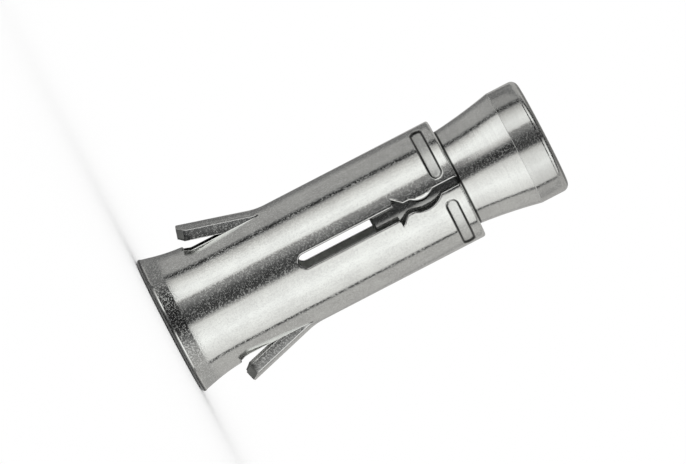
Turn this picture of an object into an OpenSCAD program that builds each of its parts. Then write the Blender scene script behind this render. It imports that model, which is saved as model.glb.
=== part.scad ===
// Hollow floor anchor: a pressed steel expansion sleeve with a turned cone nut in its mouth.
// Millimetres. The axis is Z, and the anchor stands on its flared rim at Z = 0 with the cone up.
// A bolt comes in through the rim, turns into the cone nut and draws it into the sleeve, which spreads.

/* [Sleeve] */
// Outside diameter of the sleeve, which is also the drilled hole's
sleeve_d = 16; // [14:0.1:18]
// Length of the sleeve from its rim to its mouth
sleeve_l = 40; // [36:0.5:50]
// Thickness of the sheet
wall = 1.25; // [0.9:0.05:1.6]
// Rounding of the mouth's outer edge
mouth_edge_r = 0.3; // [0.2:0.05:0.6]

/* [Rim] */
// Largest diameter of the flared rim
rim_d = 18.2; // [17.9:0.1:19]
// Rounding of the rim's outer edge
rim_edge_r = 0.4; // [0.2:0.05:0.6]
// Share of the rim's overhang that its rounded edge stands out past the band
lip_share = 0.045; // [0.01:0.005:0.08]
// Height of the steep band at the rim, up to its crease
band_h = 2.3; // [1.5:0.1:3]
// Share of the rim's overhang that is left at the crease
crease_share = 0.54; // [0.4:0.01:0.7]
// Height where the flare runs out into the tube
flare_h = 7.6; // [6:0.1:9]

/* [Spreading slots] */
// Width of the two slots
slot_w = 1.8; // [1.2:0.1:2.4]
// Height of the slots' round ends above the rim face
slot_z = 17.9; // [17.5:0.1:22]
// Distance of the slots' notches from the mouth
notch_from_mouth = 8.65; // [7.6:0.05:10]
// How far a notch cuts into each side of its slot
notch_depth = 0.9; // [0.5:0.1:1.4]
// Length of a notch's sloping side
notch_l = 1.25; // [0.8:0.05:1.6]

/* [Finger lock] */
// Distance of the tongue's middle from the mouth
lock_from_mouth = 4.9; // [4.6:0.05:5.6]
// Radius of the round tongue
tongue_r = 1.86; // [1.6:0.02:2]
// How far the tongue stands out from its finger's edge
tongue_reach = 0.87; // [0.6:0.01:1.1]
// Width of the slit between the notches and the tongue
throat_w = 1.42; // [1.1:0.02:1.6]
// Width of the slit at the mouth
mouth_slit_w = 0.95; // [0.6:0.05:1.2]
// Gap between the tongue and the recess that takes it
lock_gap = 1.1; // [0.8:0.05:1.2]

/* [Barbs] */
// Width of the two barbs
barb_w = 6; // [4:0.1:7]
// Length of a barb along the sheet, from its bend to its tip
barb_l = 11.4; // [10:0.1:13]
// Height of the windows' lower ends above the rim face
window_z = 6; // [5:0.1:7]
// Angle that the barbs stand out by, in degrees
barb_angle = 15.7; // [8:0.1:20]
// Radius of the bend at a barb's root, on the outside
barb_bend_r = 8; // [4:0.5:12]
// Length of the bend that stays joined to the tube
barb_root_l = 1.3; // [0.8:0.1:1.6]
// Chamfer of a barb's tip corners
barb_chamfer = 0.85; // [0.3:0.05:1.5]
// How much the bend thins a barb, on each face
bend_thinning = 0.04; // [0.02:0.01:0.1]
// Width of the cut along each side of a barb
lance_gap = 0.15; // [0.1:0.01:0.3]

/* [Dents] */
// Width of the four pressed dents, along the axis
dent_w = 1.8; // [1.2:0.1:2.2]
// Length of a dent around the sleeve, end to end
dent_l = 8.7; // [6:0.1:9]
// Depth of a dent
dent_depth = 0.3; // [0.15:0.05:0.4]
// Distance of the dents' middle from the mouth
dent_from_mouth = 2.1; // [1.8:0.1:2.4]
// Angle from a slot to the middle of the dent beside it
dent_angle = 41.7; // [40:0.1:45]

/* [Cone nut] */
// Length of the cone nut
cone_l = 23.9; // [21:0.1:28]
// How far the cone nut stands out of the sleeve
cone_out = 12; // [10.5:0.1:14]
// Length of the head's straight rim
head_l = 4; // [2:0.1:5]
// Step from the sleeve's outside in to the head's outside
head_inset = 0.42; // [0.2:0.01:0.8]
// Rounding of the head's end
head_edge_r = 0.95; // [0.3:0.05:1.2]
// How far inside the mouth the neck's taper starts
taper_in = 6.5; // [6:0.1:8]
// Room between the neck and the insides of the dents
neck_gap = 0.43; // [0.3:0.01:0.6]
// Chamfer of the neck's end
neck_chamfer = 0.3; // [0.1:0.05:0.5]
// Thread size
thread_d = 10; // [8:1:10]
// Thread pitch
thread_pitch = 1.5; // [1:0.25:1.5]
// Depth of the lead-in chamfers at both ends of the thread
thread_chamfer = 0.95; // [0.5:0.05:1.1]

/* [Hidden] */
$fn = 96;
zinc_sleeve = [0.77, 0.78, 0.79];
zinc_cone = [0.74, 0.75, 0.76];
// Overlap that lets cuts and joined pieces run past each other's faces
lap = 0.2;
// Steps in the arcs of the edge rounds, the flare and the nut's taper
edge_steps = 6;
flare_steps = 10;
taper_steps = 12;

sleeve_r = sleeve_d / 2;
bore_r = sleeve_r - wall;
mouth_z = sleeve_l;
half_turn = [0, 180];

// Rim: the crease, the edge's round, and the band, which cuts the round a lip's depth inside its edge
overhang = rim_d / 2 - sleeve_r;
flare_drop = crease_share * overhang;
crease_r = sleeve_r + flare_drop;
rim_edge = [rim_d / 2 - rim_edge_r, rim_edge_r];
edge_to_crease = [crease_r, band_h] - rim_edge;
band_off = rim_edge_r - lip_share * overhang;
band_angle = atan2(edge_to_crease.y, edge_to_crease.x) - acos(band_off / norm(edge_to_crease));
band_normal = [cos(band_angle), sin(band_angle)];
band_along = [-sin(band_angle), cos(band_angle)];
band_foot = rim_edge + band_off * band_normal;
edge_end_angle = band_angle + acos(band_off / rim_edge_r);
// Flare: an arc from the crease that runs out flush with the tube, with its centre outside the sleeve
flare_rise = flare_h - band_h;
flare_r = (flare_rise * flare_rise + flare_drop * flare_drop) / (2 * flare_drop);
flare_centre = [sleeve_r + flare_r, flare_h];

// Slots and finger lock, seen from outside: the tongue is on the left finger
notch_z = mouth_z - notch_from_mouth;
lock_z = mouth_z - lock_from_mouth;
tongue_edge = -throat_w / 2;
tongue_x = tongue_edge + tongue_reach - tongue_r;

// Barbs
bend_z = window_z + barb_l;
bend_l = barb_bend_r * barb_angle * PI / 180;
bend_axis_x = sleeve_r + barb_bend_r;
cut_end_z = bend_z - barb_root_l;
window_w = barb_w + 2 * lance_gap;

// Dents
dent_z = mouth_z - dent_from_mouth;
dent_slope = 2 / 3;
dent_span = (dent_l - dent_w) / sleeve_r * 180 / PI;

// Cone nut
cone_top_z = mouth_z + cone_out;
cone_foot_z = cone_top_z - cone_l;
neck_r = bore_r - dent_depth - neck_gap;
head_r = sleeve_r - head_inset;
taper_z = mouth_z - taper_in;
head_z = cone_top_z - head_l;
taper_l = head_z - taper_z;
taper_rise = head_r - neck_r;
taper_r = (taper_l * taper_l + taper_rise * taper_rise) / (2 * taper_rise);
taper_angle = asin(taper_l / taper_r);
thread_bore_r = (thread_d - thread_pitch) / 2;

// Point of the steep band's line, moved in by inset, at height z
function band_point(inset, z) =
    let (foot = band_foot - inset * band_normal)
    [foot.x - (z - foot.y) * tan(band_angle), z];

// Point where the steep band's line, moved in by inset, meets the flare's arc moved in as far
function crease(inset) =
    let (foot = band_foot - inset * band_normal,
         from_centre = foot - flare_centre,
         b = from_centre * band_along,
         c = from_centre * from_centre - pow(flare_r + inset, 2),
         t = sqrt(b * b - c) - b)
    foot + t * band_along;

// Points of an arc round centre from one angle to another
function arc(centre, r, from, to, steps) = [
    for (i = [0:steps])
        let (a = from + (to - from) * i / steps)
        centre + r * [cos(a), sin(a)]
];

// Points of the flare, moved in by inset, from its crease up to where it runs out into the tube
function flare_arc(inset) =
    let (from_centre = crease(inset) - flare_centre)
    arc(flare_centre, flare_r + inset, atan2(from_centre.y, from_centre.x) + 360, 180, flare_steps);

// Half width of a dent at depth below the surface that it is pressed into
function dent_half(depth) = dent_w / 2 - depth * dent_slope;

// Half section of the sleeve's wall: up the outside from the rim to the mouth, and down the inside
module wall_section() {
    polygon(concat(
        arc(rim_edge, rim_edge_r, -90, edge_end_angle, edge_steps),
        flare_arc(0),
        arc([sleeve_r - mouth_edge_r, mouth_z - mouth_edge_r], mouth_edge_r, 0, 90, edge_steps),
        [[bore_r, mouth_z]],
        [for (i = [flare_steps:-1:0]) flare_arc(wall)[i]],
        [band_point(wall, 0)]
    ));
}

// Outline of a slot with its notches and the slit round the tongue, seen from outside
module slot_outline() {
    end_z = slot_z + slot_w / 2;
    reach = slot_w / 2 + notch_depth;
    translate([0, end_z]) circle(d = slot_w);
    translate([-slot_w / 2, end_z]) square([slot_w, notch_z - end_z + lap]);
    polygon([
        [-reach, notch_z], [reach, notch_z],
        [throat_w / 2, notch_z + notch_l], [-throat_w / 2, notch_z + notch_l]
    ]);
    difference() {
        union() {
            translate([tongue_edge, notch_z + lap]) square([throat_w, lock_z - notch_z]);
            translate([tongue_edge, lock_z]) square([mouth_slit_w, mouth_z - lock_z + lap]);
            intersection() {
                translate([tongue_x, lock_z]) circle(tongue_r + lock_gap);
                translate([tongue_edge, notch_z + notch_l]) square([sleeve_r, mouth_z - notch_z]);
            }
        }
        translate([tongue_x, lock_z]) circle(tongue_r);
    }
}

// Cut of one slot through the wall on the -Y side
module slot_cut() {
    rotate([90, 0, 0]) linear_extrude(rim_d) slot_outline();
}

// Outline of a barb's flat blank, with its tip at the origin
module blank_outline(width, length) {
    polygon([
        [-width / 2, length], [-width / 2, barb_chamfer], [-width / 2 + barb_chamfer, 0],
        [width / 2 - barb_chamfer, 0], [width / 2, barb_chamfer], [width / 2, length]
    ]);
}

// Window that a barb leaves in the wall on the +X side
module window_cut() {
    rotate([90, 0, 90]) linear_extrude(rim_d) translate([0, window_z])
        blank_outline(window_w, cut_end_z - window_z);
}

// Cross-section of a barb, a strip of the tube's wall less inset all round, placed from the bend's axis
module barb_section(inset) {
    width = barb_w - 2 * inset;
    intersection() {
        translate([bend_axis_x, 0]) difference() {
            circle(sleeve_r - inset);
            circle(bore_r + inset);
        }
        translate([0, -width / 2]) square([bend_axis_x, width]);
    }
}

// One barb on the +X side: the bend, then the straight blade that ends in the chamfered tip
module barb() {
    blade_l = barb_l - bend_l;
    translate([bend_axis_x, 0, bend_z]) rotate([90, 180, 0]) {
        rotate_extrude(angle = barb_angle) barb_section(bend_thinning);
        rotate([0, 0, barb_angle]) intersection() {
            translate([0, -lap, 0]) rotate([-90, 0, 0]) linear_extrude(blade_l + lap) barb_section(0);
            translate([0, blade_l, 0]) rotate([0, 90, 0]) linear_extrude(bend_axis_x)
                rotate([0, 0, 180]) blank_outline(barb_w + lap, 2 * barb_l);
        }
    }
}

// Stadium pressed inwards from a cylinder of radius surface_r, round the +X direction
module dent(surface_r) {
    low = surface_r - dent_depth - lap;
    high = surface_r + 2 * lap;
    low_half = dent_half(surface_r - low);
    high_half = dent_half(surface_r - high);
    translate([0, 0, dent_z]) intersection() {
        translate([0, 0, -dent_w]) linear_extrude(2 * dent_w) difference() {
            circle(surface_r + lap);
            circle(surface_r - dent_depth);
        }
        union() {
            rotate([0, 0, -dent_span / 2]) rotate_extrude(angle = dent_span)
                polygon([[low, -low_half], [high, -high_half], [high, high_half], [low, low_half]]);
            for (side = [-1, 1]) {
                rotate([0, 0, side * dent_span / 2]) translate([low, 0, 0]) rotate([0, 90, 0])
                    cylinder(h = high - low, r1 = low_half, r2 = high_half);
            }
        }
    }
}

// The four dents, one on each side of each slot
module dents(surface_r) {
    for (turn = half_turn, side = [-1, 1]) {
        rotate([0, 0, turn - 90 + side * dent_angle]) dent(surface_r);
    }
}

module expansion_sleeve() {
    color(zinc_sleeve) {
        difference() {
            union() {
                rotate_extrude() wall_section();
                dents(bore_r);
            }
            dents(sleeve_r);
            for (turn = half_turn) {
                rotate([0, 0, turn]) slot_cut();
                rotate([0, 0, turn]) window_cut();
            }
        }
        for (turn = half_turn) rotate([0, 0, turn]) barb();
    }
}

module cone_nut() {
    lead_r = thread_bore_r + thread_chamfer;
    color(zinc_cone) rotate_extrude() difference() {
        polygon(concat(
            [[0, cone_foot_z], [neck_r - neck_chamfer, cone_foot_z], [neck_r, cone_foot_z + neck_chamfer]],
            arc([neck_r + taper_r, taper_z], taper_r, 180, 180 - taper_angle, taper_steps),
            arc([head_r - head_edge_r, cone_top_z - head_edge_r], head_edge_r, 0, 90, edge_steps),
            [[0, cone_top_z]]
        ));
        polygon([
            [0, cone_foot_z - lap], [lead_r + lap, cone_foot_z - lap],
            [thread_bore_r, cone_foot_z + thread_chamfer],
            [thread_bore_r, cone_top_z - thread_chamfer], [lead_r + lap, cone_top_z + lap],
            [0, cone_top_z + lap]
        ]);
    }
}

expansion_sleeve();
cone_nut();
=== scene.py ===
"""Looks of the hollow floor anchor: the pressed sleeve and the turned cone nut, both bright zinc plated.

Lengths are millimetres, as in the part's source, until a mesh is made. The axis is Z, the rim stands at 0,
the slots face -Y and +Y, and the barbs stand out to -X and +X.
"""
import math

import bpy
import numpy as np
from mathutils import Matrix, Vector


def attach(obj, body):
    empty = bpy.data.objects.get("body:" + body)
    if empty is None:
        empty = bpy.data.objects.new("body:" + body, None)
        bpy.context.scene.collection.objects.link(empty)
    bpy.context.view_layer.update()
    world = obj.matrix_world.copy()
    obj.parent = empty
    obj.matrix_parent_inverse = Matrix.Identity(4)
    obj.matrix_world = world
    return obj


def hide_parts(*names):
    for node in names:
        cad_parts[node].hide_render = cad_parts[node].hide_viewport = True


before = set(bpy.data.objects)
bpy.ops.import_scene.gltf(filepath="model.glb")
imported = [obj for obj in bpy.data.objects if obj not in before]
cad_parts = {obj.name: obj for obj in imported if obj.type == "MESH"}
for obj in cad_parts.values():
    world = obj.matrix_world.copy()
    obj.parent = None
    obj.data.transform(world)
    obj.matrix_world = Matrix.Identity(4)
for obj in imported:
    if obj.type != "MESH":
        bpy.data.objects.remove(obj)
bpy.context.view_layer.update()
MM = 0.001

# Sleeve and rim
SLEEVE_R = 8.0
SLEEVE_L = 40.0
WALL = 1.25
MOUTH_EDGE_R = 0.3
RIM_R = 9.1
RIM_EDGE_R = 0.4
RIM_LIP = 0.0495
BAND_H = 2.3
CREASE_R = 8.594
FLARE_H = 7.6
# Rows that keep the crease sharp: a share of the band on its one side, a height on the other
BESIDE_CREASE = 0.02
PAST_CREASE = 0.04

# Slots and finger lock
SLOT_W = 1.8
SLOT_Z = 17.9
SLOT_END_Z = SLOT_Z + SLOT_W / 2
NOTCH_Z = 31.35
NOTCH_DEPTH = 0.9
NOTCH_L = 1.25
NOTCH_STEP = 0.03
LOCK_Z = 35.1
LOCK_ROWS_Z = 33.3
TONGUE_R = 1.86
TONGUE_REACH = 0.87
THROAT_W = 1.42
MOUTH_SLIT_W = 0.95
LOCK_GAP = 1.1
TONGUE_X = TONGUE_REACH - TONGUE_R - THROAT_W / 2
BESIDE_SLOT = 3.0

# Barbs
BARB_HALF = 3.0
BARB_L = 11.4
BARB_CHAMFER = 0.85
BARB_ANGLE = math.radians(15.7)
BEND_R = 8.0
BEND_X = SLEEVE_R + BEND_R
BEND_ROWS = 7
WINDOW_HALF = 3.15
WINDOW_Z = 6.0
BEND_Z = WINDOW_Z + BARB_L
CUT_END_Z = BEND_Z - 1.3
BLADE_L = BARB_L - BEND_R * BARB_ANGLE
BARB_TIP_Z = BEND_Z - BEND_R * math.sin(BARB_ANGLE) - BLADE_L * math.cos(BARB_ANGLE)

# Dents, with close rows from outside their edges to inside their sloping sides
DENT_W = 1.8
DENT_L = 8.7
DENT_DEPTH = 0.3
DENT_Z = 37.9
DENT_ANGLE = math.radians(90 - 41.7)
DENT_SLOPE_W = 0.38
DENT_ROWS_OUT = 0.1
DENT_ROWS_IN = 0.4

# Cone nut, with rows that hold its neck and head straight and the head's crease sharp
CONE_FOOT_Z = 28.1
CONE_TOP_Z = 52.0
NECK_R = 6.02
NECK_CHAMFER = 0.3
NECK_ROW_Z = 31.0
TAPER_Z = 33.5
HEAD_Z = 48.0
HEAD_ROW_Z = 50.0
BESIDE_HEAD = 0.05
HEAD_R = 7.58
HEAD_EDGE_R = 0.95
THREAD_BORE_R = 4.25
THREAD_R = 5.0
THREAD_PITCH = 1.5
LEAD_R = 5.2
THREAD_ROWS = 225
NUT_COLUMNS = 168

# Rolled edge that the shears leave on the sheet
ROLL_R = 0.13
SLOT_ROLL_R = 0.2
TONGUE_ROLL_R = 0.8
END_ROLL_R = 0.02
RIM_END_Z = 0.2
ROLL_STEPS = 4

# Painted shade on the edges: how near to the tube a window's edge lies, how far off it a barb's tip, their
# reach along Z, and how dark a tip is painted
ON_TUBE = 0.06
OFF_TUBE = 0.3
PAST_WINDOW = 0.2
TIP_REACH = 0.9 * BARB_CHAMFER
TIP_PAINTED_SHADE = 0.85

SHARP_ANGLE = math.radians(36)
SLACK = 1e-6


def rows_between(*stops):
    """Row positions: each stop gives a position and the number of even steps from the stop before it."""
    spans = [np.linspace(a, b, n, endpoint=False) for (a, _), (b, n) in zip(stops, stops[1:])]
    return np.concatenate(spans + [[stops[-1][0]]])


def arc_points(centre, radius, start, end, steps):
    """Points of an arc: the centre plus the radius times the cosine and sine of evenly spaced degrees."""
    angle = np.radians(np.linspace(start, end, steps + 1))
    return np.stack([centre[0] + radius * np.cos(angle), centre[1] + radius * np.sin(angle)], axis=1)


def grid_quads(rows, columns):
    """Quads of a grid of points: each joins a point, the next in its row, and the two above them."""
    corner = np.arange(rows * columns).reshape(rows, columns)
    return np.stack([corner[:-1, :-1], corner[:-1, 1:], corner[1:, 1:], corner[1:, :-1]], axis=-1)


def tube_rows():
    """Heights of the rows above the flare, close where the slots, the lock and the dents need it."""
    slot_end = SLOT_END_Z - SLOT_W / 2 * np.cos(np.linspace(0, math.pi / 2, 9))
    dent_foot, dent_top = DENT_Z - DENT_W / 2, DENT_Z + DENT_W / 2
    return np.concatenate([
        rows_between((FLARE_H, 0), (CUT_END_Z, 14), (BEND_Z, 5), (SLOT_Z, 2))[1:-1],
        slot_end,
        rows_between((SLOT_END_Z, 0), (NOTCH_Z - NOTCH_STEP, 18), (NOTCH_Z + NOTCH_STEP, 1),
                     (NOTCH_Z + NOTCH_L, 6), (LOCK_ROWS_Z, 3), (dent_foot - DENT_ROWS_OUT, 28),
                     (dent_foot + DENT_ROWS_IN, 8), (dent_top - DENT_ROWS_IN, 5),
                     (dent_top + DENT_ROWS_OUT, 8), (SLEEVE_L - MOUTH_EDGE_R, 3))[1:-1],
    ])


def wall_profiles():
    """Radius and height of the wall's outside and inside, row by row from the rim to the mouth.

    Outside: the rim's round, the steep band that cuts it a lip's depth inside its edge, the flare's arc,
    the tube and the mouth's round. Inside: the same lines moved in by the sheet's thickness.
    """
    rim_edge = np.array([RIM_R - RIM_EDGE_R, RIM_EDGE_R])
    to_crease = np.array([CREASE_R, BAND_H]) - rim_edge
    band_off = RIM_EDGE_R - RIM_LIP
    band_angle = math.atan2(to_crease[1], to_crease[0]) - math.acos(band_off / np.hypot(*to_crease))
    normal = np.array([math.cos(band_angle), math.sin(band_angle)])
    along = np.array([-normal[1], normal[0]])
    rise, drop = FLARE_H - BAND_H, CREASE_R - SLEEVE_R
    flare_r = (rise * rise + drop * drop) / (2 * drop)
    flare_centre = np.array([SLEEVE_R + flare_r, FLARE_H])

    inner_foot = rim_edge + (band_off - WALL) * normal
    from_centre = inner_foot - flare_centre
    b = from_centre @ along
    band_l = math.sqrt(b * b - from_centre @ from_centre + (flare_r + WALL) ** 2) - b
    inner_crease = inner_foot + band_l * along
    inner_end = inner_foot - along * inner_foot[1] / along[1]

    flare_z = rows_between((BAND_H, 0), (BAND_H + PAST_CREASE, 1), (WINDOW_Z, 9),
                           (WINDOW_Z + BARB_CHAMFER, 3), (FLARE_H, 3))
    inner_z = np.interp(flare_z, [BAND_H, WINDOW_Z, FLARE_H], [inner_crease[1], WINDOW_Z, FLARE_H])
    flare = np.stack([flare_centre[0] - np.sqrt(flare_r ** 2 - (flare_z - FLARE_H) ** 2), flare_z], axis=1)
    inner_flare = np.stack(
        [flare_centre[0] - np.sqrt((flare_r + WALL) ** 2 - (inner_z - FLARE_H) ** 2), inner_z], axis=1)

    edge_end = band_angle + math.acos(band_off / RIM_EDGE_R)
    rim_round = arc_points(rim_edge, RIM_EDGE_R, -90, math.degrees(edge_end), 8)
    mouth_round = arc_points(
        (SLEEVE_R - MOUTH_EDGE_R, SLEEVE_L - MOUTH_EDGE_R), MOUTH_EDGE_R, 0, 90, 6)
    tube_z = tube_rows()
    inner_tube_z = np.concatenate([tube_z, np.linspace(SLEEVE_L - MOUTH_EDGE_R, SLEEVE_L, len(mouth_round))])
    tube = np.stack([np.full_like(tube_z, SLEEVE_R), tube_z], axis=1)
    inner_tube = np.stack([np.full_like(inner_tube_z, SLEEVE_R - WALL), inner_tube_z], axis=1)
    share = np.linspace(0, 1, len(rim_round))[:, None]
    beside = np.array([[BESIDE_CREASE], [1 - BESIDE_CREASE]])
    outside = np.concatenate([rim_round, rim_round[-1] + beside * (flare[0] - rim_round[-1]), flare, tube,
                              mouth_round])
    inside = np.concatenate([inner_end + share * (inner_foot - inner_end),
                             inner_foot + beside * (inner_flare[0] - inner_foot), inner_flare, inner_tube])
    return outside, inside


def slot_sides(z):
    """Distances of a slot's recessed and tongued sides from its centre line at height z.

    Nought below the slot, a half circle at its end, half the slot's width, then the notch's slope down to
    half the throat. Above that the recess keeps to a circle round the tongue's centre where that is further
    out, and the tongue is the smaller circle that stands past its finger's edge.
    """
    below = np.clip(SLOT_END_Z - z, 0, SLOT_W / 2)
    slot = np.sqrt((SLOT_W / 2) ** 2 - below ** 2)
    notch_top = NOTCH_Z + NOTCH_L
    slope = np.interp(z, [NOTCH_Z, notch_top], [SLOT_W / 2 + NOTCH_DEPTH, THROAT_W / 2])
    side = np.where(z > NOTCH_Z, slope, slot)
    rise = (z - LOCK_Z) ** 2
    recess_x = TONGUE_X + np.sqrt(np.clip((TONGUE_R + LOCK_GAP) ** 2 - rise, 0, None))
    tongue_x = TONGUE_X + np.sqrt(np.clip(TONGUE_R ** 2 - rise, 0, None))
    slit = np.where(z > LOCK_Z, MOUTH_SLIT_W - THROAT_W / 2, side)
    recessed = np.where(z > notch_top, np.maximum(slit, recess_x), side)
    tongued = np.where(z > notch_top, np.minimum(side, -tongue_x), side)
    return recessed, tongued


# Columns of the half sleeve between its guide lines: slot side, line beside it, window, barb, and back out
COLUMN = rows_between((0, 0), (0.2, 1), (1, 12), (2, 34), (3, 1),
                      (4, 24), (5, 1), (6, 34), (6.8, 12), (7, 1))


def from_dent(angle, z):
    """Distances of a place from the middle line of the nearest dent: past its end, and across it.

    Past the end that is nearer to a slot counts as positive, and past the other end as negative.
    """
    folded = np.abs((angle + math.pi / 2) % math.pi - math.pi / 2)
    to_slot = SLEEVE_R * (folded - DENT_ANGLE)
    half = (DENT_L - DENT_W) / 2
    return to_slot - np.clip(to_slot, -half, half), np.abs(z - DENT_Z)


def dent_share(angle, z):
    """How far a place of the sleeve is pressed in, from 0 to 1, by its angle and height.

    A dent is a stadium: the distance from its middle line gives the share, eased over its sloping side.
    """
    fall = np.clip((DENT_W / 2 - np.hypot(*from_dent(angle, z))) / DENT_SLOPE_W, 0, 1)
    return fall * fall * (3 - 2 * fall)


def dent_flank(angle, z):
    """How far a place is clear of the round end that a dent has towards the slot, from 0 to 1.

    It is the cosine of the way to the place from that end's middle, and 1 along the rest of the dent.
    """
    past_end, off_line = from_dent(angle, z)
    return np.cos(np.arctan2(np.maximum(past_end, 0), off_line))


def half_sleeve(profile):
    """Half of the sleeve's wall on the +X side, on a grid of rows by height and columns by angle.

    Each row's guide lines are angles: the arc sine of a line's distance from the slot's or the window's
    middle over the row's radius. Columns run evenly between guide lines. The radius is the profile's less
    the dents' depth. Where the barb's bend is still joined to the tube, X follows the bend's circle.
    """
    r, z = profile[:, 0], profile[:, 1]
    recessed, tongued = slot_sides(z)
    chamfer = np.clip(WINDOW_Z + BARB_CHAMFER - z, 0, BARB_CHAMFER)
    quarter = math.pi / 2
    window = np.arcsin((WINDOW_HALF - chamfer) / r)
    barb = np.arcsin((BARB_HALF - chamfer) / r)
    beside = quarter - np.arcsin(BESIDE_SLOT / r)
    guides = np.stack([np.arcsin(recessed / r) - quarter, -beside, -window, -barb,
                       barb, window, beside, quarter - np.arcsin(tongued / r)], axis=1)
    line = np.minimum(COLUMN.astype(int), guides.shape[1] - 2)
    share = COLUMN - line
    angle = guides[:, line] * (1 - share) + guides[:, line + 1] * share

    radius = r[:, None] - DENT_DEPTH * dent_share(angle, z[:, None])
    x, y = radius * np.cos(angle), radius * np.sin(angle)

    on_barb = np.abs(angle) <= barb[:, None] + SLACK
    in_bend = (z < BEND_Z) & (z > CUT_END_Z - SLACK)
    drop = np.clip(BEND_Z - z, 0, BEND_Z - CUT_END_Z)[:, None]
    x = np.where(on_barb & in_bend[:, None], BEND_X - np.sqrt((BEND_X - x) ** 2 - drop ** 2), x)
    return np.stack([x, y, np.broadcast_to(z[:, None], x.shape)], axis=-1)


def barb_blade(radius, share):
    """A barb below its root: across it the tube's own arc, along it the bend's circle, then a straight run.

    share is each column's place across the barb, from -1 to 1. A point of the tube's arc goes round the
    bend's axis, and past the bend it moves on along the tangent. The tip's corners narrow at 45 degrees.
    """
    straight = rows_between((0, 0), (BLADE_L - BARB_CHAMFER, 18), (BLADE_L, 6))[1:]
    turn = np.concatenate([np.linspace(0, 1, BEND_ROWS), np.ones_like(straight)])[:, None]
    run = np.concatenate([np.zeros(BEND_ROWS), straight])[:, None]
    half = BARB_HALF - np.clip(run - (BLADE_L - BARB_CHAMFER), 0, None)
    y = share * half
    reach = BEND_X - np.sqrt(radius ** 2 - y ** 2)
    root = np.arcsin((BEND_Z - CUT_END_Z) / reach)
    angle = root + (BARB_ANGLE - root) * turn
    x = BEND_X - reach * np.cos(angle) + run * math.sin(BARB_ANGLE)
    z = BEND_Z - reach * np.sin(angle) - run * math.cos(BARB_ANGLE)
    return np.stack([x, y, z], axis=-1)


def sleeve_sheet():
    """Outside and inside points of the whole sleeve and the quads of its sheet.

    One half with its window left open and its barb, and the same turned by 180 degrees, since the slots are
    half-turn copies. Points that meet are welded.
    """
    outside, inside = wall_profiles()
    halves = [half_sleeve(outside), half_sleeve(inside)]
    rows, columns = halves[0].shape[:2]
    quads = grid_quads(rows, columns)
    row_z = (outside[:-1, 1] + outside[1:, 1]) / 2
    column = (COLUMN[:-1] + COLUMN[1:]) / 2
    in_window = ((row_z > WINDOW_Z) & (row_z < CUT_END_Z))[:, None] & ((column > 2) & (column < 5))[None, :]
    wall_quads = quads[~in_window]

    root_row = np.argmin(np.abs(outside[:, 1] - CUT_END_Z))
    across = (COLUMN > 3 - SLACK) & (COLUMN < 4 + SLACK)
    shares = [half[root_row, across, 1] / BARB_HALF for half in halves]
    blades = [barb_blade(SLEEVE_R, shares[0]), barb_blade(SLEEVE_R - WALL, shares[1])]
    blade_quads = grid_quads(*blades[0].shape[:2]).reshape(-1, 4)[:, ::-1] + rows * columns

    half_points = [np.concatenate([half.reshape(-1, 3), blade.reshape(-1, 3)])
                   for half, blade in zip(halves, blades)]
    half_quads = np.concatenate([wall_quads, blade_quads])
    turned = np.array([-1.0, -1.0, 1.0])
    outer, inner = [np.concatenate([points, points * turned]) for points in half_points]
    quads = np.concatenate([half_quads, half_quads + len(half_points[0])])

    _, first, same = np.unique(np.round(outer, 3), axis=0, return_index=True, return_inverse=True)
    quads = first[same.reshape(-1)][quads]
    used, packed = np.unique(quads, return_inverse=True)
    return outer[used], inner[used], packed.reshape(-1, 4)


def thick_sheet(outer, inner, quads, roll):
    """Closed solid between two like sheets, with the outside's open edges rolled over.

    The edge's own direction in the sheet is the outward normal crossed with the edge. The rolled edge is a
    quarter circle from the outside, moved in by roll, to the sheared face, which then runs to the inside.
    Returns the points, the quads and how far each point counts as sheared, burnished, far round the rolled
    edge and inside, 0 or 1.
    """
    side = np.stack([quads, np.roll(quads, -1, axis=1)], axis=-1).reshape(-1, 2)
    _, place, count = np.unique(np.sort(side, axis=1), axis=0, return_inverse=True, return_counts=True)
    open_side = side[count[place.reshape(-1)] == 1]
    rim = np.unique(open_side)

    through = inner - outer
    through /= np.linalg.norm(through, axis=1)[:, None]
    edge = outer[open_side[:, 1]] - outer[open_side[:, 0]]
    edge /= np.linalg.norm(edge, axis=1)[:, None]
    inwards = np.zeros_like(outer)
    for end in (0, 1):
        np.add.at(inwards, open_side[:, end], np.cross(-through[open_side[:, end]], edge))
    inwards = inwards[rim] / np.linalg.norm(inwards[rim], axis=1)[:, None]

    angle = np.linspace(0, math.pi / 2, ROLL_STEPS + 1)[:, None, None]
    size = roll(outer[rim])[:, None]
    rings = outer[rim] + size * ((1 - np.sin(angle)) * inwards + (1 - np.cos(angle)) * through[rim])
    points = np.concatenate([outer, inner, rings[1:].reshape(-1, 3)])
    points[rim] = rings[0]

    place_in_rim = np.searchsorted(rim, open_side)
    ring_ids = [open_side] + [2 * len(outer) + step * len(rim) + place_in_rim for step in range(ROLL_STEPS)]
    ring_ids.append(open_side + len(outer))
    strips = [np.stack([a[:, 1], a[:, 0], b[:, 0], b[:, 1]], axis=1) for a, b in zip(ring_ids, ring_ids[1:])]
    sheared, burnished, rolled, inside = np.zeros((4, len(points)))
    inside[len(outer):2 * len(outer)] = 1
    last_ring = 2 * len(outer) + (ROLL_STEPS - 1) * len(rim)
    sheared[last_ring:] = 1
    burnished[2 * len(outer):last_ring] = 1
    rolled[2 * len(outer) + len(rim):] = 1
    closed = np.concatenate([quads, quads[:, ::-1] + len(outer)] + strips)
    return points, closed, sheared, burnished, rolled, inside


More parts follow.
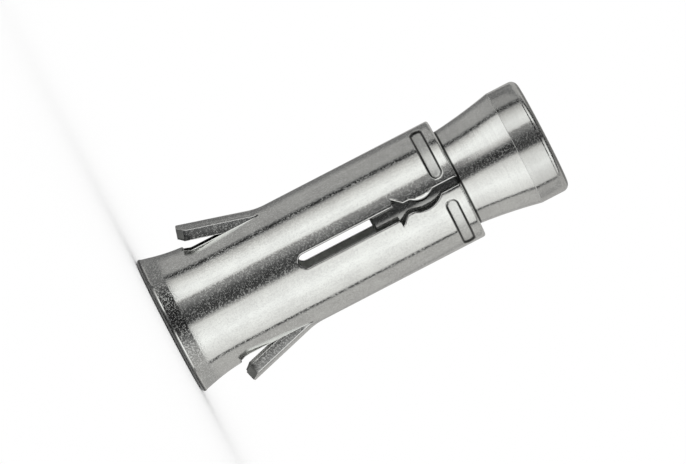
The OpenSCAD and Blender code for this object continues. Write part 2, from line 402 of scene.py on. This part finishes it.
def edge_roll(points):
    """Size of the rolled edge at points: small at the rim and the mouth, which have rounds of their own.

    Round the tongue it swells evenly with how far the tongue stands out past its finger's edge.
    """
    x, y, z = points.T
    out = np.sign(-y) * x - TONGUE_X
    on_tongue = np.hypot(out, z - LOCK_Z) < TONGUE_R + LOCK_GAP / 2
    finger_edge = -THROAT_W / 2 - TONGUE_X
    swell = np.where(on_tongue, np.clip((out - finger_edge) / (TONGUE_R - finger_edge), 0, 1), 0)
    at_ends = (z < RIM_END_Z) | (z > SLEEVE_L - MOUTH_EDGE_R)
    plain = np.where(np.abs(x) < BESIDE_SLOT, SLOT_ROLL_R, ROLL_R)
    return np.where(at_ends, END_ROLL_R, plain + (TONGUE_ROLL_R - plain) * swell)


def painted_edge_shade_share(points, rolled, inner):
    """How far points of the sleeve are painted dark as shade, from 0 to 1.

    Painted shade lies on the rolled edges near the slots' middle plane, on those on the tube along the
    windows, and at the barbs' tips on the faces between rolled edge and inside.
    """
    x, y, z = points.T
    in_slot = np.abs(x) < BESIDE_SLOT
    from_window = np.abs(z - (WINDOW_Z + BEND_Z) / 2) - (BEND_Z - WINDOW_Z) / 2
    at_window = (np.hypot(x, y) < SLEEVE_R + ON_TUBE) & (from_window < PAST_WINDOW)
    at_tip = (np.abs(x) > SLEEVE_R + OFF_TUBE) & (np.abs(z - BARB_TIP_Z) < TIP_REACH)
    return rolled * (in_slot | at_window) + np.maximum(rolled, inner) * at_tip * TIP_PAINTED_SHADE


def thread_radius(z, angle):
    """Inside radius of the nut: a right-hand thread's groove, with flanks at 30 degrees, and its lead-ins.

    The groove's middle climbs one pitch a turn. From the middle the radius stays at the thread's size over
    an eighth of the pitch and falls along the flank to the bore. Cones at 45 degrees open both ends.
    """
    phase = (z / THREAD_PITCH - angle / (2 * math.pi)) % 1.0
    from_middle = np.abs(phase - 0.5) * THREAD_PITCH
    flank = THREAD_R - (from_middle - THREAD_PITCH / 16) / math.tan(math.radians(30))
    from_end = np.minimum(z - CONE_FOOT_Z, CONE_TOP_Z - z)
    return np.maximum(np.clip(flank, THREAD_BORE_R, THREAD_R), LEAD_R - from_end)


def cone_nut_surface():
    """The nut as one profile carried round the axis: down the thread, out across the foot, up the outside.

    Outside: the neck's chamfer, the neck, the taper's arc that leaves the neck as a tangent, the straight
    head and its rounded end. The grid closes on itself both ways.
    """
    angle = np.linspace(0, 2 * math.pi, NUT_COLUMNS, endpoint=False)
    inner_z = np.linspace(CONE_TOP_Z, CONE_FOOT_Z, THREAD_ROWS)[:, None]
    inner = thread_radius(inner_z, angle)
    length, rise = HEAD_Z - TAPER_Z, HEAD_R - NECK_R
    taper_r = (length * length + rise * rise) / (2 * rise)
    taper_z = rows_between((TAPER_Z, 0), (HEAD_Z - BESIDE_HEAD, 30), (HEAD_Z, 1))
    taper = np.stack([NECK_R + taper_r - np.sqrt(taper_r ** 2 - (taper_z - TAPER_Z) ** 2), taper_z], axis=1)
    outside = np.concatenate([
        [[NECK_R - NECK_CHAMFER, CONE_FOOT_Z], [NECK_R, CONE_FOOT_Z + NECK_CHAMFER], [NECK_R, NECK_ROW_Z]],
        taper,
        [[HEAD_R, HEAD_Z + BESIDE_HEAD], [HEAD_R, HEAD_ROW_Z]],
        arc_points((HEAD_R - HEAD_EDGE_R, CONE_TOP_Z - HEAD_EDGE_R), HEAD_EDGE_R, 0, 90, 10),
    ])
    radius = np.concatenate([inner, np.repeat(outside[:, :1], NUT_COLUMNS, axis=1)])
    height = np.concatenate([inner_z, outside[:, 1:]])
    points = np.stack([radius * np.cos(angle), radius * np.sin(angle),
                       np.broadcast_to(height, radius.shape)], axis=-1)
    corner = np.arange(radius.size).reshape(radius.shape)
    corner = np.pad(corner, ((0, 1), (0, 1)), mode="wrap")
    quads = np.stack([corner[:-1, :-1], corner[:-1, 1:], corner[1:, 1:], corner[1:, :-1]], axis=-1)
    return points.reshape(-1, 3), quads.reshape(-1, 4)


def make_piece(name, points, quads, material, **marks):
    """Object at the origin with its place in its mesh, smooth but for its sharp edges.

    Each mark is a share from 0 to 1 at the points, for the finish to read.
    """
    mesh = bpy.data.meshes.new(name)
    mesh.from_pydata((points * MM).tolist(), [], quads.tolist())
    mesh.shade_smooth()
    mesh.set_sharp_from_angle(angle=SHARP_ANGLE)
    for label, share in marks.items():
        mesh.attributes.new(label, "FLOAT", "POINT").data.foreach_set("value", share)
    mesh.materials.append(material)
    piece = bpy.data.objects.new(name, mesh)
    bpy.context.collection.objects.link(piece)
    normals = piece.modifiers.new("normals_by_face_size", "WEIGHTED_NORMAL")
    normals.keep_sharp = True
    return piece


class Shade:
    """One output of a shader node, or a bare tree. Arithmetic on outputs adds Math nodes."""

    def __init__(self, tree, output=None):
        self.tree = tree
        self.output = output

    def node(self, kind, settings=None, sockets=None, output=0):
        """Adds a node of this type, sets its settings, then its sockets' values or links."""
        made = self.tree.nodes.new(kind)
        for key, value in (settings or {}).items():
            setattr(made, key, value)
        for key, value in (sockets or {}).items():
            if isinstance(value, Shade):
                self.tree.links.new(value.output, made.inputs[key])
            else:
                made.inputs[key].default_value = value
        return Shade(self.tree, made.outputs[output] if len(made.outputs) else None)

    def math(self, operation, first, second):
        return self.node("ShaderNodeMath", {"operation": operation}, {0: first, 1: second})

    def __add__(self, other):
        return self.math("ADD", self, other)

    def __sub__(self, other):
        return self.math("SUBTRACT", self, other)

    def __rsub__(self, other):
        return self.math("SUBTRACT", other, self)

    def __mul__(self, other):
        return self.math("MULTIPLY", self, other)

    def mix(self, first, second):
        """Colour from first to second by this value."""
        return self.node("ShaderNodeMix", {"data_type": "RGBA"}, {0: self, 6: first, 7: second}, output=2)


def new_tree(name):
    """A new material and its empty node tree."""
    material = bpy.data.materials.new(name)
    material.use_nodes = True
    material.node_tree.nodes.clear()
    return material, Shade(material.node_tree)


def noise(shade, place, scale, detail=3.0):
    """Noise from 0 to 1 whose features are about a metre over scale wide."""
    return shade.node("ShaderNodeTexNoise", {"noise_dimensions": "3D"},
                      {"Vector": place, "Scale": scale, "Detail": detail, "Roughness": 0.55})


def stretched(shade, place, along):
    """Place with each axis multiplied, so that a pattern is drawn out along an axis with a small factor."""
    return shade.node("ShaderNodeMapping", {"vector_type": "POINT"}, {"Vector": place, "Scale": along})


def eased(shade, value, start, end):
    """From 0 to 1 as the value goes from start to end, eased at both."""
    return shade.node("ShaderNodeMapRange", {"interpolation_type": "SMOOTHSTEP"},
                      {"Value": value, "From Min": start, "From Max": end})


def height_mm(shade, place):
    """Height above the rim in millimetres."""
    return shade.node("ShaderNodeSeparateXYZ", None, {0: place}, output="Z") * (1 / MM)


def mark(shade, name):
    """A piece's own mark, from 0 to 1."""
    return shade.node("ShaderNodeAttribute", {"attribute_name": name}, output="Fac")


# Tones of the plate, of what lies on it, and of the shade that is painted on it
SLEEVE_LIGHT = (0.955, 0.968, 0.938, 1.0)
SLEEVE_DARK = (0.78, 0.785, 0.768, 1.0)
NUT_LIGHT = (0.945, 0.956, 0.928, 1.0)
NUT_DARK = (0.79, 0.795, 0.778, 1.0)
SHEARED_STEEL = (0.30, 0.31, 0.33, 1.0)
BURNISHED_ZINC = (0.97, 0.97, 0.96, 1.0)
# Painted shade on the edges of the slots, the windows and the barbs' tips
EDGE_PAINTED_SHADE = (0.03, 0.032, 0.03, 1.0)
# Painted shade along the dents' sides
DENT_PAINTED_SHADE = (0.02, 0.022, 0.02, 1.0)
RIM_CUT = (0.10, 0.10, 0.10, 1.0)
# Painted shade on the nut's neck inside the sleeve
NECK_PAINTED_SHADE = (0.52, 0.53, 0.52, 1.0)
# Painted shadow in a line where the nut leaves the sleeve's mouth
MOUTH_PAINTED_SHADOW = (0.05, 0.055, 0.05, 1.0)
HEAD_ZINC = (0.30, 0.30, 0.29, 1.0)
# Painted shade round the head's rounded edge
HEAD_EDGE_PAINTED_SHADE = (0.12, 0.12, 0.115, 1.0)
CLOUD_SCALE = 260.0
RELIEF_DEPTH = 0.007


def zinc_plate(name, light, dark, grain_scale, marks_along, marks_scale):
    """Bright zinc on steel: a fine grain, faint clouds and the tool's marks.

    Gives the material, its tree and place, and what its finish is made of.
    """
    material, shade = new_tree(name)
    place = shade.node("ShaderNodeTexCoord", output="Object")
    grain = noise(shade, place, grain_scale)
    clouds = noise(shade, place, CLOUD_SCALE, detail=4.0)
    marks = noise(shade, stretched(shade, place, marks_along), marks_scale, detail=2.0)
    specks = eased(shade, grain, 0.48, 0.64)
    colour = eased(shade, clouds * 0.35 + grain * 0.5 + marks * 0.15, 0.36, 0.64).mix(dark, light)
    rough = clouds * 0.06 + specks * 0.14 + 0.04
    bare = 1 - specks * 0.12
    relief = shade.node("ShaderNodeBump", None, {
        "Strength": 1.0, "Distance": RELIEF_DEPTH * MM, "Height": grain * 0.6 + marks * 0.4})
    return material, shade, place, colour, rough, bare, relief


def finish_plate(shade, colour, rough, bare, relief):
    """Closes a plate's tree: metal with this colour, gloss and relief, bare of chalk by this share."""
    surface = shade.node("ShaderNodeBsdfPrincipled", None, {
        "Base Color": colour, "Roughness": rough, "Metallic": bare, "Normal": relief})
    shade.node("ShaderNodeOutputMaterial", None, {"Surface": surface})


def sleeve_plate():
    """Plate of the pressed sleeve.

    It is dull where it was sheared, inside and at the rim's cut end, burnished on rolled edges, painted dark
    with shade on the edges of the slots, the windows and the barbs' tips, matt in the dents, and painted dark
    with shade along their sides.
    """
    material, shade, place, colour, rough, bare, relief = zinc_plate(
        "sleeve_zinc_plate", SLEEVE_LIGHT, SLEEVE_DARK, 4800.0, (1.0, 1.0, 0.12), 2400.0)
    sheared, burnished, stained, pressed, inner = [
        mark(shade, name) for name in ("sheared", "burnished", "stained", "pressed", "inner")]
    inner = eased(shade, inner, 0.92, 1.0)
    # Painted shade along the dents' sloping sides, weaker at the round end towards the slot
    corner = pressed * (1 - pressed) * 4
    corner = corner * (2 - corner) * (mark(shade, "flank") * 0.86 + 0.10)
    cut_end = eased(shade, height_mm(shade, place), 0.54, 0.48)
    colour = (sheared * 0.45).mix(colour, SHEARED_STEEL)
    colour = (burnished * 0.8).mix(colour, BURNISHED_ZINC)
    # Painted shade, nearly black, on the edges of the slots, the windows and the barbs' tips
    colour = (stained * 0.97).mix(colour, EDGE_PAINTED_SHADE)
    colour = corner.mix(colour, DENT_PAINTED_SHADE)
    colour = (cut_end * 0.85).mix(colour, RIM_CUT)
    finish_plate(shade, colour, rough + sheared * 0.12 + pressed * 0.30 + cut_end * 0.2 + inner * 0.3,
                 bare - sheared * 0.1 - inner * 0.65, relief)
    return material


def cone_plate():
    """Plate of the turned nut.

    It has painted shade below the sleeve's mouth and a painted shadow line at it, is grey on the head behind
    the tool's line, and has painted shade round the head's edge.
    """
    material, shade, place, colour, rough, bare, relief = zinc_plate(
        "cone_zinc_plate", NUT_LIGHT, NUT_DARK, 6200.0, (0.04, 0.04, 1.0), 3200.0)
    height = height_mm(shade, place)
    # Painted shade on the neck below the sleeve's mouth
    inside = eased(shade, height, SLEEVE_L - 0.2, SLEEVE_L - 0.5)
    # Painted shadow in a line just above the sleeve's mouth
    painted_mouth_shadow = eased(shade, height, SLEEVE_L + 0.36, SLEEVE_L + 0.24) - inside
    head = eased(shade, height, HEAD_Z - 0.05, HEAD_Z + 0.1)
    end_face = eased(shade, height, CONE_TOP_Z - 0.1, CONE_TOP_Z - 0.05)
    # Painted shade on the head's rounded edge, short of its end face
    painted_head_edge_shade = eased(shade, height, CONE_TOP_Z - 0.38, CONE_TOP_Z - 0.24) - end_face
    tool_line = head * (1 - head) * 4
    colour = (inside * 0.9).mix(colour, NECK_PAINTED_SHADE)
    colour = (painted_mouth_shadow * 0.95).mix(colour, MOUTH_PAINTED_SHADOW)
    colour = (head * 0.2).mix(colour, HEAD_ZINC)
    colour = (painted_head_edge_shade * 0.7).mix(colour, HEAD_EDGE_PAINTED_SHADE)
    finish_plate(shade, colour, rough - inside * 0.06 + tool_line * 0.4 + painted_head_edge_shade * 0.15, bare, relief)
    return material


def stage_piece(name, points, quads, material, only_reflected):
    """Part of the studio. One that is only reflected shows in the metal, and gives no light and no shadow."""
    mesh = bpy.data.meshes.new(name)
    mesh.from_pydata((points * MM).tolist(), [], quads.tolist())
    mesh.materials.append(material)
    piece = bpy.data.objects.new(name, mesh)
    bpy.context.collection.objects.link(piece)
    if only_reflected:
        piece.visible_camera = False
        piece.visible_diffuse = False
        piece.visible_transmission = False
        piece.visible_shadow = False
    return piece


# Pieces
points, quads, sheared, burnished, rolled, inner = thick_sheet(*sleeve_sheet(), edge_roll)
place = np.arctan2(points[:, 1], points[:, 0]), points[:, 2]
# The sleeve's marks include painted shade on its edges and along its dents' sides
sleeve = make_piece("zinc_sleeve", points, quads, sleeve_plate(), sheared=sheared, burnished=burnished,
                    inner=inner, stained=painted_edge_shade_share(points, rolled, inner),
                    pressed=dent_share(*place), flank=dent_flank(*place))
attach(sleeve, "sleeve")
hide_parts("expansion_sleeve")

points, quads = cone_nut_surface()
cone = make_piece("zinc_cone_nut", points, quads, cone_plate())
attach(cone, "cone")
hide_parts("cone_nut")

# Camera: level with the anchor's middle and a little beside the slot, with the picture rolled. The aim lies
# off the anchor's middle by the photo's pixels
PIXELS_PER_MM = 8.08
DISTANCE = 750.0
LENS = 318.0
SIDE_STEP = math.radians(-3.6)
ROLL = math.radians(27.4)
AIM_RIGHT = 12.9
AIM_UP = 1.9

across = Vector((math.cos(SIDE_STEP), math.sin(SIDE_STEP), 0))
looking = Vector((-math.sin(SIDE_STEP), math.cos(SIDE_STEP), 0))
axis = Vector((0, 0, 1))
right = axis * math.cos(ROLL) + across * math.sin(ROLL)
up = axis * math.sin(ROLL) - across * math.cos(ROLL)
middle = axis * (CONE_TOP_Z / 2)
aim = middle - right * (AIM_RIGHT / PIXELS_PER_MM) - up * (AIM_UP / PIXELS_PER_MM)
stand = (aim - looking * DISTANCE) * MM
camera = bpy.data.objects.new("camera", bpy.data.cameras.new("camera"))
camera.data.lens = LENS
camera.data.sensor_width = 36.0
camera.matrix_world = Matrix((
    (right.x, up.x, -looking.x, stand.x),
    (right.y, up.y, -looking.y, stand.y),
    (right.z, up.z, -looking.z, stand.z),
    (0, 0, 0, 1),
))
bpy.context.collection.objects.link(camera)
bpy.context.scene.camera = camera

# Studio: a white surround, a white floor, and a tent round the anchor that shows only in its metal.
# Levels of the tent by angle in degrees, from the camera's side towards -X. The wall has two soft lights, the
# dark gap between them where the camera stands, their dark frames, and the grey room behind
WALL_LEVELS = [(-180, 0.42), (-99, 0.42), (-95, 0.06), (-92.5, 0.06), (-90, 0.68), (-65, 0.86),
               (-50, 1.0), (-28, 0.82), (-18, 0.68), (-13.5, 0.40), (-9.5, 0.07), (0, 0.045), (12, 0.08),
               (24, 0.24), (29, 0.26), (33, 0.88), (46, 0.97), (60, 0.74), (72, 0.42), (76, 0.24),
               (79.5, 0.03), (83.5, 0.03), (90, 0.31), (125, 0.33), (145, 0.16), (166, 0.13), (180, 0.42)]
# The floor shows in the flare and has the same lights, with a narrower gap
FLOOR_LEVELS = [(-180, 0.42), (-99, 0.42), (-95, 0.10), (-92, 0.10), (-88, 0.66), (-65, 0.86),
                (-50, 0.98), (-28, 0.80), (-14, 0.62), (-7, 0.09), (0, 0.03), (9, 0.04), (14, 0.12),
                (22, 0.55), (32, 0.92), (50, 1.0), (66, 0.84), (75, 0.62), (80, 0.12), (84, 0.12),
                (90, 0.31), (166, 0.33), (180, 0.42)]
# The eave is the lights' dark upper frame, which shows in the rim's band. The ceiling above it is lit as the
# wall is, the top is dark over the camera's half, and the near ring is the anchor's own dark foot
EAVE_LEVELS = [(-180, 0.32), (-85, 0.36), (-50, 0.28), (-30, 0.10), (-18, 0.04), (-8, 0.02), (14, 0.02),
               (45, 0.03), (65, 0.09), (80, 0.17), (166, 0.18), (180, 0.32)]
TOP_LEVELS = [(-180, 0.40), (-110, 0.40), (-90, 0.05), (90, 0.05), (110, 0.40), (180, 0.40)]
NEAR_LEVELS = [(-180, 0.05), (180, 0.05)]
# Tints of dark, grey and white levels
TINT_LEVELS = [0.05, 0.45, 1.0]
TINTS = [(1.0, 1.02, 0.99), (1.0, 1.0, 1.0), (1.01, 0.975, 0.99)]
TENT_DEGREES = np.linspace(-180, 180, 721)
TENT_R = 300.0
TENT_H = 600.0
ROOF_R = 290.0
TOP_R = 1.0
NEAR_GAP = 0.3
NEAR_R = 11.0
FLOOR_R = 180.0
FLOOR_HALF = 2500.0
FLOOR_DROP = 0.05
LIFT = 0.02
# Leans of the rim's surface that show the lower edges of eave, ceiling and top
EAVE_LEAN = 12.7
CEILING_LEAN = 19
TOP_LEAN = 34
CAMERA_OVER_RIM = 24.5
LOOK_DOWN = CAMERA_OVER_RIM / DISTANCE
LEAST_RISE = 0.02


def seen_height(lean):
    """Height on the roof's cylinder that shows in the rim where it leans up by these degrees, at all angles.

    A surface that leans by b and is turned by half of a from the camera throws its ray to the angle a, with
    a rise of sin 2b cos(a / 2) less the slope at which the camera looks down on the rim.
    """
    rise = math.sin(math.radians(2 * lean)) * np.cos(np.radians(TENT_DEGREES / 2)) - LOOK_DOWN
    rise = np.maximum(rise, LEAST_RISE)
    return ROOF_R * rise / np.sqrt(1 - rise ** 2)


def tent(name, levels, *rows):
    """Glowing surface round the axis, through rows of a radius and a height, one value or one at each angle.

    The glow is the level interpolated between the stops of the list, times the tint of that level.
    """
    turn = np.radians(TENT_DEGREES) - SIDE_STEP
    r, z = [np.stack([value + 0 * turn for value in side]) for side in zip(*rows)]
    points = np.stack([-r * np.sin(turn), -r * np.cos(turn), z], axis=-1)
    level = np.interp(TENT_DEGREES, *np.transpose(levels))
    tinted = [level * np.interp(level, TINT_LEVELS, tint) for tint in TINTS]
    glow = np.stack(tinted + [np.ones_like(level)], axis=1)

    material, shade = new_tree(name)
    colour = shade.node("ShaderNodeAttribute", {"attribute_name": "glow"}, output="Color")
    light = shade.node("ShaderNodeEmission", None, {"Color": colour, "Strength": 1.0})
    shade.node("ShaderNodeOutputMaterial", None, {"Surface": light})
    quads = grid_quads(*points.shape[:2]).reshape(-1, 4)
    piece = stage_piece(name, points.reshape(-1, 3), quads, material, True)
    painted = piece.data.attributes.new("glow", "FLOAT_COLOR", "POINT")
    painted.data.foreach_set("color", np.tile(glow, (len(points), 1)).astype(np.float32).ravel())


eave, ceiling, top = seen_height(EAVE_LEAN), seen_height(CEILING_LEAN), seen_height(TOP_LEAN)
tent("tent_near", NEAR_LEVELS, (RIM_R + NEAR_GAP, LIFT), (NEAR_R, LIFT))
tent("tent_floor", FLOOR_LEVELS, (NEAR_R, LIFT), (FLOOR_R, LIFT))
tent("tent_wall", WALL_LEVELS, (FLOOR_R, LIFT), (TENT_R, LIFT), (TENT_R, TENT_H))
tent("tent_eave", EAVE_LEVELS, (ROOF_R, eave), (ROOF_R, ceiling))
tent("tent_ceiling", WALL_LEVELS, (ROOF_R, ceiling), (ROOF_R, top))
tent("tent_top", TOP_LEVELS, (ROOF_R, top), (TOP_R, TENT_H))

floor_white, shade = new_tree("floor_white")
surface = shade.node("ShaderNodeBsdfDiffuse", None, {"Color": (1.0, 1.0, 1.0, 1.0)})
shade.node("ShaderNodeOutputMaterial", None, {"Surface": surface})
corners = np.array([[-1, -1, 0], [1, -1, 0], [1, 1, 0], [-1, 1, 0]]) * FLOOR_HALF
stage_piece("floor", corners - np.array([0, 0, FLOOR_DROP]), np.array([[0, 1, 2, 3]]), floor_white, False)

world = bpy.data.worlds.new("white_surround")
world.use_nodes = True
background = world.node_tree.nodes["Background"]
background.inputs["Color"].default_value = (1.0, 1.0, 1.0, 1.0)
background.inputs["Strength"].default_value = 1.0
bpy.context.scene.world = world

bpy.context.scene.view_settings.view_transform = "Standard"
